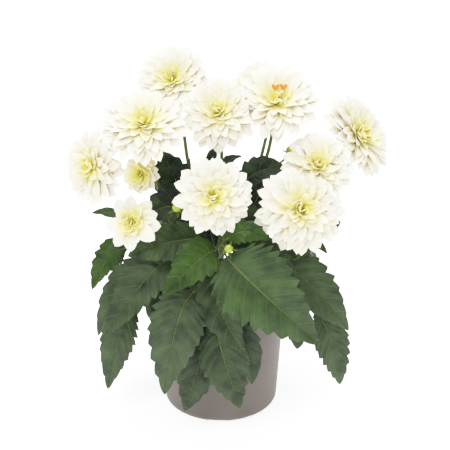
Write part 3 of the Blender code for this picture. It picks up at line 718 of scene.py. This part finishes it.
# Each leaf: where its stalk leaves the stem, its base, bend and tip, the turn and tilt of its upper face,
# its width, its teeth a side, and how young it is, from 0 for an old dark leaf to 1 for a new bright one.
# The last five of the front shoot are small inner leaves that the solids leave out.
LEAVES = {
    "shoot_left": [
        (165, (-97, -24, 186), (-115, -28, 178), (-133, -30, 143), (-30, 30), 35, 8, 0.8),
        (185, (-20, -50, 210), (-56, -66, 211), (-92, -70, 199), (-10, 30), 42, 10, 0.3),
        (150, (-50, -60, 192), (-80, -74, 169), (-120, -80, 111), (-20, 25), 48, 10, 0.0),
        (150, (-53, -54, 186), (-61, -64, 158), (-66, -68, 117), (-5, 20), 42, 8, 0.1),
        (140, (-74, -42, 183), (-104, -52, 154), (-126, -56, 103), (-35, 20), 36, 8, 0.0),
        (125, (-89, -36, 127), (-106, -44, 93), (-119, -46, 34), (-15, 15), 41, 10, 0.0),
        (205, (-24, -28, 218), (-52, -30, 236), (-78, -32, 219), (-5, 30), 48, 8, 0.2),
        (212, (-88, -44, 226), (-108, -42, 234), (-129, -40, 233), (-5, 40), 12, 4, 0.2),
    ],
    "shoot_back_left": [
        (190, (-34, 4, 226), (-48, 6, 254), (-60, 8, 282), (-5, 15), 48, 6, 0.1),
        (150, (-50, 48, 190), (-82, 66, 180), (-112, 84, 124), (-130, 30), 58, 8, 0.3),
        (130, (-28, 58, 180), (-42, 88, 160), (-50, 108, 94), (-165, 25), 62, 8, 0.1),
        (120, (-60, 20, 166), (-92, 26, 148), (-114, 30, 90), (-100, 25), 56, 6, 0.0),
        (230, (-34, 56, 226), (-44, 80, 232), (-50, 102, 208), (-160, 50), 42, 6, 0.7),
        (200, (-6, 50, 214), (0, 78, 214), (6, 102, 182), (180, 45), 46, 6, 0.4),
    ],
    "shoot_front": [
        (210, (-6, -88, 213), (-24, -102, 207), (-57, -108, 173), (-8, 30), 44, 8, 0.9),
        (150, (-28, -83, 164), (-44, -99, 135), (-57, -97, 57), (-8, 15), 60, 10, 0.0),
        (120, (-13, -76, 124), (-23, -84, 81), (-37, -84, 30), (-8, 10), 46, 8, 0.0),
        (125, (-6, -80, 132), (4, -91, 92), (20, -90, 37), (2, 10), 52, 10, 0.1),
        (120, (8, -74, 134), (26, -78, 100), (32, -76, 57), (15, 10), 34, 6, 0.0),
        (180, (2, -74, 198), (-2, -86, 156), (24, -96, 103), (0, 15), 48, 8, 0.1),
        (205, (6, -96, 210), (38, -110, 181), (99, -100, 116), (8, 22), 84, 12, 0.3),
        (218, (6, -90, 226), (25, -93, 236), (47, -88, 225), (5, 40), 26, 6, 0.9),
        (214, (11, -90, 218), (25, -92, 214), (41, -88, 200), (5, 40), 18, 4, 0.5),
        (210, (-12, -24, 270), (-9, -22, 285), (-4, -23, 300), (-20, 35), 12, 4, 0.1),
        (212, (1, -32, 280), (10, -33, 288), (21, -35, 292), (10, 45), 9, 4, 0.1),
        (212, (2, -33, 279), (9, -34, 282), (17, -36, 280), (10, 45), 8, 4, 0.1),
        (195, (-6, -38, 194), (-10, -38, 210), (-15, -37, 228), (-10, 15), 32, 6, 0.0),
        (195, (-3, -38, 194), (6, -38, 206), (14, -37, 220), (10, 15), 26, 6, 0.0),
    ],
    "shoot_right": [
        (185, (22, -70, 208), (47, -79, 202), (77, -80, 174), (8, 30), 40, 8, 0.2),
        (170, (52, -54, 194), (92, -62, 162), (131, -60, 111), (22, 22), 52, 10, 0.1),
        (125, (98, -48, 130), (115, -54, 92), (125, -52, 43), (18, 15), 41, 10, 0.0),
        (130, (62, -54, 146), (77, -56, 118), (79, -54, 86), (10, 15), 32, 6, 0.0),
        (150, (79, -40, 157), (91, -42, 144), (98, -41, 119), (10, 20), 24, 4, 0.1),
        (195, (77, -64, 193), (91, -66, 211), (106, -68, 201), (5, 30), 14, 4, 0.9),
        (215, (16, -44, 226), (34, -40, 244), (42, -36, 266), (5, 20), 42, 8, 0.0),
        (205, (16, -56, 220), (32, -56, 232), (50, -54, 230), (5, 30), 34, 6, 0.1),
        (215, (87, -48, 215), (105, -44, 220), (121, -40, 223), (5, 30), 24, 6, 0.3),
    ],
    "shoot_back_right": [
        (220, (22, -4, 250), (42, -2, 264), (66, 0, 266), (5, 30), 34, 6, 0.1),
        (150, (50, 50, 185), (80, 70, 170), (102, 84, 102), (130, 30), 58, 8, 0.2),
        (130, (20, 60, 180), (28, 92, 160), (34, 114, 92), (165, 25), 62, 8, 0.0),
        (125, (62, 22, 176), (94, 30, 156), (114, 34, 94), (100, 25), 56, 6, 0.1),
        (205, (42, 52, 212), (62, 76, 216), (80, 94, 190), (150, 50), 44, 6, 0.7),
        (165, (8, 4, 182), (0, -10, 184), (-10, -24, 168), (-20, 70), 34, 4, 0.2),
    ],
}

# Each green bud: its shoot, where its stalk leaves the stem, its place, the way it faces and its radius.
BUDS = [
    ("shoot_front", 216, (8, -105, 223), (10, 40), 4.2),
    ("shoot_front", 214, (-43, -62, 248), (-20, 50), 4.6),
    ("shoot_back_right", 235, (74, 62, 262), (140, 55), 5.0),
]
STEM_RADIUS = 3.3 * MM
PEDUNCLE_RADIUS = 1.5 * MM
PETIOLE_RADIUS = 1.3 * MM
RIB_DEPTH = 0.6
CALYX_RADIUS = 7.5 * MM
CALYX_DEPTH = 6 * MM
JOINT_SWELLING = 0.22
JOINT_LENGTH = 4 * MM


def bezier(a, b, c, d, count):
    """Points along the cubic from a to d with handles b and c."""
    t = np.linspace(0, 1, count)[:, None]
    s = 1 - t
    return a * s**3 + b * 3 * s * s * t + c * 3 * s * t * t + d * t**3


def stem_line(points, steps):
    """A smooth line through the points: between two of them, a cubic with the slopes of their neighbours."""
    padded = np.array([points[0] * 2 - points[1], *points, points[-1] * 2 - points[-2]])
    line = []
    for before, start, end, after in zip(padded, padded[1:], padded[2:], padded[3:]):
        line.append(bezier(start, start + (end - before) / 6, end - (after - start) / 6, end, steps + 1)[:-1])
    return np.concatenate([*line, points[-1:]])


def at_height(line, height):
    """The point of a rising line at this height."""
    return np.array([np.interp(height, line[:, 2], line[:, axis]) for axis in range(3)])


def tube(path, radius, sides, sideways):
    """A stalk: circles of the given radii square to the path, drawn to a point at each end."""
    forward = unit(np.gradient(path, axis=0))
    right = unit(sideways - forward * (forward @ sideways)[:, None])
    up = np.cross(forward, right)
    turns = np.linspace(0, 2 * math.pi, sides, endpoint=False)[:, None]
    ring = np.cos(turns) * right[:, None] + np.sin(turns) * up[:, None]
    points = path[:, None] + np.reshape(radius, (-1, 1, 1)) * ring
    ends = np.repeat(path[[0, -1], None], sides, axis=1)
    return np.concatenate([ends[:1], points, ends[1:]])[None]


def stalk_path(start, end, direction, count):
    """A stalk's line: it leaves the stem rising and reaches its end in the given direction."""
    length = np.linalg.norm(end - start)
    rise = unit(unit((end - start) * (1, 1, 0)) * 0.6 + (0, 0, 1))
    return bezier(start, start + rise * 0.4 * length, end - direction * 0.35 * length, end, count)


def stalk(path, first_radius, last_radius, sides):
    """A tapered tube along a stalk's line, which lies nearly in one plane."""
    plane = np.cross(path[-1] - path[0], path[len(path) // 2] - path[0])
    sideways = unit(plane) if np.linalg.norm(plane) > 1e-9 else np.array([1.0, 0, 0])
    return tube(path, np.linspace(first_radius, last_radius, len(path)), sides, sideways)


def leaf_midrib(leaf, t):
    """Places on a leaf's midrib, a parabola from base to tip through the bend, and the directions there to
    the leaf's side and out of its upper face."""
    base, bend, tip = (np.array(point) * MM for point in leaf[1:4])
    handle = bend * 2 - (base + tip) / 2
    t = np.asarray(t)[..., None]
    place = base * (1 - t) ** 2 + handle * 2 * t * (1 - t) + tip * t * t
    forward = unit((handle - base) * (1 - t) + (tip - handle) * t)
    side = unit(np.cross(forward, facing(*leaf[4])))
    return place, side, np.cross(side, forward)


def ring_of_bracts(middle, axis, count, length, width, radius, rise, spread, first_turn):
    """Small pointed bracts round an axis: each starts at the radius, and leans out while it rises."""
    right = unit(np.cross([0.1, 0.3, 1], axis))
    up = np.cross(axis, right)
    turn = first_turn + 2 * math.pi * np.arange(count)[:, None] / count
    out = right * np.cos(turn) + up * np.sin(turn)
    side = np.cross(axis, out)[:, None, None]
    out = out[:, None, None]
    u = np.linspace(0, 1, 8)[None, :, None, None]
    v = np.linspace(-1, 1, 5)[None, None, :, None]
    reach = radius + spread * length * u**1.5
    height = rise * length * u
    half = width / 2 * ((0.55 + 0.45 * np.sin(np.minimum(u / 0.5, 1) * math.pi / 2)) * (1 - u**3) ** 0.8 + 0.03)
    points = middle + out * (reach - half * 0.35 * v * v) + axis * height + side * half * v
    return blade(points, 0.5 * MM)


def make_calyx_grids(name):
    """The green cup behind a bloom, its eight inner bracts and its five leafy outer ones."""
    core, axis = bloom_core(name)
    scale = BLOOMS[name][2] / 44
    back = core - axis * (CORE_BACK + GAP + CALYX_DEPTH)
    share = np.linspace(0, 1, 8)
    path = back + axis * CALYX_DEPTH * share[:, None]
    radius = PEDUNCLE_RADIUS * 1.1 + (CALYX_RADIUS - PEDUNCLE_RADIUS) * share**0.6
    sideways = unit(np.cross([0.1, 0.3, 1], axis))
    lip = path[-1]
    inner = ring_of_bracts(lip, axis, 8, 15 * MM * scale, 8 * MM * scale, 5 * MM, -0.1, 0.9, 0.3)
    outer = ring_of_bracts(lip - axis * 3 * MM, axis, 5, 11 * MM * scale, 5 * MM * scale, 6 * MM, -0.7, 0.5, 0)
    return [{"points": tube(path, radius, 16, sideways)}, inner, outer]


def make_stem_grids(name):
    """A shoot's stem, swollen at its joints, its flower stalks and calyxes, and its leaf and bud stalks."""
    points, carried = SHOOTS[name]
    line = stem_line(np.array(points, float) * MM, 16)
    joints = np.array([*carried.values(), *[leaf[0] for leaf in LEAVES[name]]]) * MM
    swelling = np.exp(-(((line[:, 2:] - joints) / JOINT_LENGTH) ** 2)).max(axis=1)
    radius = STEM_RADIUS * np.linspace(1, 0.65, len(line)) * (1 + JOINT_SWELLING * swelling)
    grids = [{"points": tube(line, radius, 14, np.array([1.0, 0, 0]))}]
    for bloom, height in carried.items():
        core, axis = bloom_core(bloom)
        end = core - axis * (CORE_BACK + GAP + CALYX_DEPTH * 0.7)
        path = stalk_path(at_height(line, height * MM), end, axis, 24)
        grids.append({"points": stalk(path, PEDUNCLE_RADIUS * 1.25, PEDUNCLE_RADIUS, 10)})
        grids += make_calyx_grids(bloom)
    for leaf in LEAVES[name]:
        inside = leaf_midrib(leaf, 0.06)[0]
        path = stalk_path(at_height(line, leaf[0] * MM), inside, unit(inside - np.array(leaf[1]) * MM), 16)
        place, side, normal = leaf_midrib(leaf, np.linspace(0.1, 0.96, 20))
        thickness = PETIOLE_RADIUS * np.linspace(0.8, 0.2, 20)
        path = np.concatenate([path, place - normal * thickness[:, None] * RIB_DEPTH])
        radius = np.concatenate([PETIOLE_RADIUS * np.linspace(1.2, 0.8, 16), thickness])
        grids.append({"points": tube(path, radius, 8, side[0])})
    for shoot, height, place, turns, radius in BUDS:
        if shoot == name:
            path = stalk_path(at_height(line, height * MM), np.array(place) * MM, facing(*turns), 20)
            grids.append({"points": stalk(path, PETIOLE_RADIUS, PETIOLE_RADIUS * 0.9, 8)})
    return grids


# Dahlia stems are smooth and a little waxy, green with a bronze cast where the light has caught them.
stem_green, tree, shader = new_material("dahlia_stem", {"Roughness": 0.42, "Specular IOR Level": 0.4})
where = add_node(tree, "ShaderNodeTexCoord")
drawn = add_node(tree, "ShaderNodeMapping", {"Vector": where.outputs["Object"], "Scale": (1, 1, 0.25)})
streaks = add_node(tree, "ShaderNodeTexNoise", {"Vector": drawn.outputs["Vector"], "Scale": 240, "Detail": 3})
tint = add_node(
    tree,
    "ShaderNodeValToRGB",
    {"Fac": streaks.outputs["Fac"]},
    stops=[(0.3, "#404E20"), (0.75, "#6A7A38"), (0.5, "#52622B")],
)
relief = add_node(
    tree,
    "ShaderNodeBump",
    {"Height": streaks.outputs["Fac"], "Strength": 0.3, "Distance": 0.2 * MM},
)
tree.links.new(tint.outputs["Color"], shader.inputs["Base Color"])
tree.links.new(relief.outputs["Normal"], shader.inputs["Normal"])

for name in SHOOTS:
    stems = surface(name.replace("shoot", "stems"), make_stem_grids(name), stem_green)
    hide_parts(name)


# The leaves: toothed leaflets that arch over and hang down round the pot, folded a little along the
# midrib, with veins that run out to the teeth and the tissue swollen between them.
LEAF_THICKNESS = 0.5 * MM
LEAF_FOLD = 0.30
LEAF_CURL = 0.10
NOTCH_DEPTH = 0.15
TOOTH_HEIGHT = 0.05
TOOTH_PLACE = 0.78
TOOTH_STEPS = np.array([0, 0.2, 0.42, 0.62, 0.78, 0.9])
VEIN_SLANT = 0.20
LEAF_SWELL = 0.6 * MM
LEAF_PUCKER = 0.45 * MM
LEAF_WAVE = 2.0 * MM
LEAF_COLUMNS = 17

# Leaves nearer to the pot's axis than the second distance are painted darker, and darkest within the first: painted
# shade for the inside of the bush.
PAINTED_SHADE_DISTANCES = (50 * MM, 100 * MM)


def leaf_outline(t, teeth, depths, drop):
    """A leaf's half width along one edge, as a share of the widest: round below, drawn out to the tip.

    A leaf that hangs is blunter. Each tooth rises slowly from its notch and falls steeply to the next,
    and each has its own depth.
    """
    smooth = np.sin(math.pi * np.clip(t, 0.012, 1) ** (0.76 + 0.18 * drop**4)) ** 0.82 * (1 - 0.15 * t)
    step = (t * teeth) % 1
    rising = np.clip(step / TOOTH_PLACE, 0, 1) ** 0.9
    falling = np.clip((step - TOOTH_PLACE) / (1 - TOOTH_PLACE), 0, 1)
    tooth = (NOTCH_DEPTH + TOOTH_HEIGHT) * (rising - falling) - NOTCH_DEPTH
    return smooth * (1 + tooth * depths[np.floor(t * teeth).astype(int)])


def make_leaf_grid(leaf, seed):
    """One leaf.

    Its rows follow its side veins: each leaves the midrib behind the point where it meets the edge, and
    bends forward. The blade is folded up from the midrib, waved along its edge, and swollen between veins.
    """
    _, base, _, tip, _, width, teeth, young = leaf
    reach = (np.array(tip) - base) * MM
    chance = np.random.default_rng(seed)
    t = np.append((np.arange(teeth)[:, None] + TOOTH_STEPS).ravel() / teeth, 1)[:, None]
    v = np.linspace(1, -1, LEAF_COLUMNS)[None]
    from_rib = t - VEIN_SLANT * np.sin(math.pi * t)
    along = from_rib + (t - from_rib) * np.abs(v) ** 1.2
    place, side, normal = leaf_midrib(leaf, along)
    depths = chance.uniform(0.3, 1.4, (2, teeth + 1))
    length = np.linalg.norm(reach)
    drop = -reach[2] / length
    edges = [leaf_outline(t, teeth, depth, drop) for depth in depths]
    half = width * MM / 2 * np.where(v > 0, *edges) + 0.3 * MM
    out = v * half
    between_veins = np.sin(math.pi * (t * teeth + 1 - TOOTH_PLACE)) ** 2
    swell = LEAF_SWELL * between_veins * np.sin(math.pi * np.abs(v)) ** 0.8 * np.sin(math.pi * t)
    phase = chance.uniform(0, 2 * math.pi, 2)
    waves = np.where(v > 0, np.sin(7 * t + phase[0]), np.sin(6 * t + phase[1]))
    pucker = LEAF_PUCKER * lumps(along * length, out, seed) * np.sin(math.pi * t)
    height = LEAF_FOLD * np.abs(out) - LEAF_CURL * half * v**4 + swell + pucker
    height = height + LEAF_WAVE * waves * v * v * np.sin(math.pi * t)
    points = place + side * out[..., None] + normal * height[..., None]
    shape = points.shape[:-1]
    veins = np.broadcast_to(t * teeth + 1 - TOOTH_PLACE, shape)
    across = np.broadcast_to(v, shape)
    # The tone is painted shade that darkens leaves inside the bush, plus a random tone for each leaf.
    outward = (np.hypot(*leaf[2][:2]) * MM - PAINTED_SHADE_DISTANCES[0]) / (PAINTED_SHADE_DISTANCES[1] - PAINTED_SHADE_DISTANCES[0])
    tone = min(max(outward, 0), 1) - 1 + chance.uniform(-0.2, 0.2)
    grid = blade(points, LEAF_THICKNESS, young=np.full(shape, young), tone=np.full(shape, tone))
    grid["place"] = place_mark(veins, across)
    return {mark: values[None] for mark, values in grid.items()}


# A dahlia leaf is matt with a waxy bloom that shows grey green where it catches the light. Its midrib and
# side veins are paler and sunk, and a net of small veins about 2.5 mm across lies between them.
VEIN_STRENGTH = 0.55
UNDERSIDE_PALENESS = 0.5
# How far each leaf's tone moves its colour: a random tone, and the painted shade that darkens the inner leaves.
LEAF_TONE_AND_SHADE = 0.3

leaf_green, tree, shader = new_material("dahlia_leaf", {"Specular IOR Level": 0.25})
where = add_node(tree, "ShaderNodeTexCoord")
marked = add_node(tree, "ShaderNodeUVMap", uv_map="place")
young = add_node(tree, "ShaderNodeAttribute", attribute_name="young")
under = add_node(tree, "ShaderNodeAttribute", attribute_name="under")
parts = add_node(tree, "ShaderNodeSeparateXYZ", {"Vector": marked.outputs["UV"]})
across = add_node(tree, "ShaderNodeMath", {0: parts.outputs["Y"]}, operation="ABSOLUTE")
midrib = add_node(
    tree,
    "ShaderNodeMapRange",
    {"Value": across.outputs["Value"], "From Min": 0.015, "From Max": 0.05, "To Min": 1, "To Max": 0},
)
nearest = add_node(tree, "ShaderNodeMath", {0: parts.outputs["X"], 1: 0.5}, operation="PINGPONG")
side_vein = add_node(
    tree,
    "ShaderNodeMapRange",
    {"Value": nearest.outputs["Value"], "From Min": 0.01, "From Max": 0.06, "To Min": 0.3, "To Max": 0},
)
veins = add_node(
    tree,
    "ShaderNodeMath",
    {0: midrib.outputs["Result"], 1: side_vein.outputs["Result"]},
    operation="MAXIMUM",
)
net = add_node(
    tree,
    "ShaderNodeTexVoronoi",
    {"Vector": where.outputs["Object"], "Scale": 400},
    feature="DISTANCE_TO_EDGE",
)
patches = add_node(tree, "ShaderNodeTexNoise", {"Vector": where.outputs["Object"], "Scale": 60, "Detail": 3})
tone = add_node(tree, "ShaderNodeAttribute", attribute_name="tone")
shade = add_node(
    tree,
    "ShaderNodeMath",
    {0: tone.outputs["Fac"], 1: LEAF_TONE_AND_SHADE, 2: patches.outputs["Fac"]},
    operation="MULTIPLY_ADD",
)
# The darkest stop of each ramp is reached chiefly by the inner leaves' painted shade.
old_tint = add_node(
    tree,
    "ShaderNodeValToRGB",
    {"Fac": shade.outputs["Value"]},
    stops=[(0.1, "#0B1009"), (0.75, "#485B39"), (0.4, "#34432B")],
)
young_tint = add_node(
    tree,
    "ShaderNodeValToRGB",
    {"Fac": shade.outputs["Value"]},
    stops=[(0.1, "#0E1804"), (0.75, "#3D5E14"), (0.4, "#2B460B")],
)
aged = add_node(
    tree,
    "ShaderNodeMix",
    {"Factor": young.outputs["Fac"], 6: old_tint.outputs["Color"], 7: young_tint.outputs["Color"]},
    data_type="RGBA",
)
strength = add_node(tree, "ShaderNodeMath", {0: veins.outputs["Value"], 1: VEIN_STRENGTH}, operation="MULTIPLY")
veined = add_node(
    tree,
    "ShaderNodeMix",
    {"Factor": strength.outputs["Value"], 6: aged.outputs[2], 7: linear("#6E8049")},
    data_type="RGBA",
)
pale = add_node(tree, "ShaderNodeMath", {0: under.outputs["Fac"], 1: UNDERSIDE_PALENESS}, operation="MULTIPLY")
sided = add_node(
    tree,
    "ShaderNodeMix",
    {"Factor": pale.outputs["Value"], 6: veined.outputs[2], 7: linear("#5F7149")},
    data_type="RGBA",
)
gloss = add_node(
    tree,
    "ShaderNodeMapRange",
    {"Value": patches.outputs["Fac"], "To Min": 0.36, "To Max": 0.54},
)
ridges = add_node(
    tree,
    "ShaderNodeMapping",
    {"Vector": marked.outputs["UV"], "Scale": (4, 1.2, 1)},
)
wrinkles = add_node(
    tree,
    "ShaderNodeTexNoise",
    {"Vector": ridges.outputs["Vector"], "Scale": 1, "Detail": 3},
    noise_dimensions="2D",
)
wrinkled = add_node(
    tree,
    "ShaderNodeBump",
    {"Height": wrinkles.outputs["Fac"], "Strength": 0.5, "Distance": 1.2 * MM},
)
relief = add_node(
    tree,
    "ShaderNodeBump",
    {
        "Height": net.outputs["Distance"],
        "Strength": 0.35,
        "Distance": 0.5 * MM,
        "Normal": wrinkled.outputs["Normal"],
    },
)
sunk = add_node(
    tree,
    "ShaderNodeBump",
    {"Height": veins.outputs["Value"], "Strength": 0.8, "Distance": 1.2 * MM, "Normal": relief.outputs["Normal"]},
    invert=True,
)
tree.links.new(sided.outputs[2], shader.inputs["Base Color"])
tree.links.new(gloss.outputs["Result"], shader.inputs["Roughness"])
tree.links.new(sunk.outputs["Normal"], shader.inputs["Normal"])

for shoot, (name, leaves) in enumerate(LEAVES.items()):
    grids = [make_leaf_grid(leaf, 100 * shoot + i) for i, leaf in enumerate(leaves)]
    foliage = surface(name.replace("shoot", "leaves"), grids, leaf_green)
    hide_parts(name)


# The buds: tight green balls of overlapping scales on thin stalks, each with five narrow outer bracts.
BUD_SCALES = 6


def make_bud_grids(place, turns, radius):
    """A ball drawn in to a blunt top, with a groove between each two scales, and its outer bracts."""
    axis = facing(*turns)
    centre, radius = np.array(place) * MM, radius * MM
    right = unit(np.cross([0.1, 0.3, 1], axis))
    up = np.cross(axis, right)
    down, round_ = np.linspace(0, math.pi, 15)[:, None], np.linspace(0, 2 * math.pi, 60, endpoint=False)
    groove = 1 - 0.09 * np.abs(np.cos(BUD_SCALES * round_ / 2 + 0.5 * down)) ** 6 * np.sin(down)
    flat = radius * np.sin(down) * groove
    points = centre + (flat * np.cos(round_))[..., None] * right + (flat * np.sin(round_))[..., None] * up
    points = points + (radius * np.cos(down) + 0 * round_)[..., None] * axis
    bracts = ring_of_bracts(centre - axis * radius * 0.8, axis, 5, 2.2 * radius, 0.7 * radius, 0.5 * radius, 0.1, 0.8, 0)
    return {"points": points[None]}, bracts


bud_green, tree, shader = new_material("dahlia_bud", {"Roughness": 0.4})
where = add_node(tree, "ShaderNodeTexCoord")
patches = add_node(tree, "ShaderNodeTexNoise", {"Vector": where.outputs["Object"], "Scale": 300, "Detail": 2})
tint = add_node(
    tree,
    "ShaderNodeValToRGB",
    {"Fac": patches.outputs["Fac"]},
    stops=[(0.3, "#8DA22C"), (0.7, "#B5C34A")],
)
tree.links.new(tint.outputs["Color"], shader.inputs["Base Color"])

bud_balls, bud_bracts = zip(*[make_bud_grids(*bud[2:]) for bud in BUDS])
buds = surface("green_buds", bud_balls, bud_green)
bracts = surface("bud_bracts", bud_bracts, stem_green)


# The orange florets: two small disc florets that stand up from the heart of one bloom, each of two lobes
# that together look like a heart, on thin stalks from one foot.
ORANGE_BLOOM = "bloom_07_upper_right"
FLORET_STALK_RADIUS = 1.0 * MM
FLORET_LOBE = np.array([2.3, 1.1, 4.6]) * MM
FLORET_LEAN = math.radians(30)
LOBE_FOOT = 0.25
FLORET_PLACES = [(55, 3, 351), (63, 4, 351)]


def make_floret_grids():
    """Each floret's stalk, and its two lobes: flattened balls, narrowed below, that lean apart."""
    heart, turns = BLOOMS[ORANGE_BLOOM][:2]
    foot = np.array(heart) * MM + facing(*turns) * (FLORET_STALK_RADIUS + 2 * GAP)
    down, round_ = np.linspace(0, math.pi, 11)[:, None], np.linspace(0, 2 * math.pi, 20, endpoint=False)
    girth = np.sin(down) * (LOBE_FOOT + (1 - LOBE_FOOT) * (0.5 + 0.5 * np.cos(down)) ** 0.7)
    lobe = np.stack([girth * np.cos(round_), girth * np.sin(round_), np.cos(down) + 0 * round_], axis=-1)
    lobe = lobe * FLORET_LOBE + (0, 0, FLORET_LOBE[2] * 0.4)
    grids = []
    for place in FLORET_PLACES:
        middle = np.array(place) * MM - (0, 0, FLORET_LOBE[2] * 0.5)
        top = middle - (0, 0, FLORET_LOBE[2] * 0.3)
        path = np.linspace(foot, top, 6)
        points = tube(path, np.full(6, FLORET_STALK_RADIUS), 10, np.array([1.0, 0, 0]))
        grids.append({"points": points, "lobe": np.zeros(points.shape[:-1])})
        for side in (-1, 1):
            cosine, sine = math.cos(FLORET_LEAN), side * math.sin(FLORET_LEAN)
            lean = np.array([[cosine, 0, sine], [0, 1, 0], [-sine, 0, cosine]])
            grids.append({"points": (middle + lobe @ lean.T)[None], "lobe": np.ones((1, *lobe.shape[:-1]))})
    return grids


floret_orange, tree, shader = new_material("disc_floret", {"Roughness": 0.5})
where = add_node(tree, "ShaderNodeTexCoord")
pollen = add_node(tree, "ShaderNodeTexNoise", {"Vector": where.outputs["Object"], "Scale": 1500, "Detail": 2})
tint = add_node(
    tree,
    "ShaderNodeValToRGB",
    {"Fac": pollen.outputs["Fac"]},
    stops=[(0.3, "#D07408"), (0.7, "#E89414")],
)
lobe = add_node(tree, "ShaderNodeAttribute", attribute_name="lobe")
sided = add_node(
    tree,
    "ShaderNodeMix",
    {"Factor": lobe.outputs["Fac"], 6: linear("#E9E58A"), 7: tint.outputs["Color"]},
    data_type="RGBA",
)
tree.links.new(sided.outputs[2], shader.inputs["Base Color"])

florets = surface("orange_florets", make_floret_grids(), floret_orange)
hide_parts("bloom_07_orange_florets")
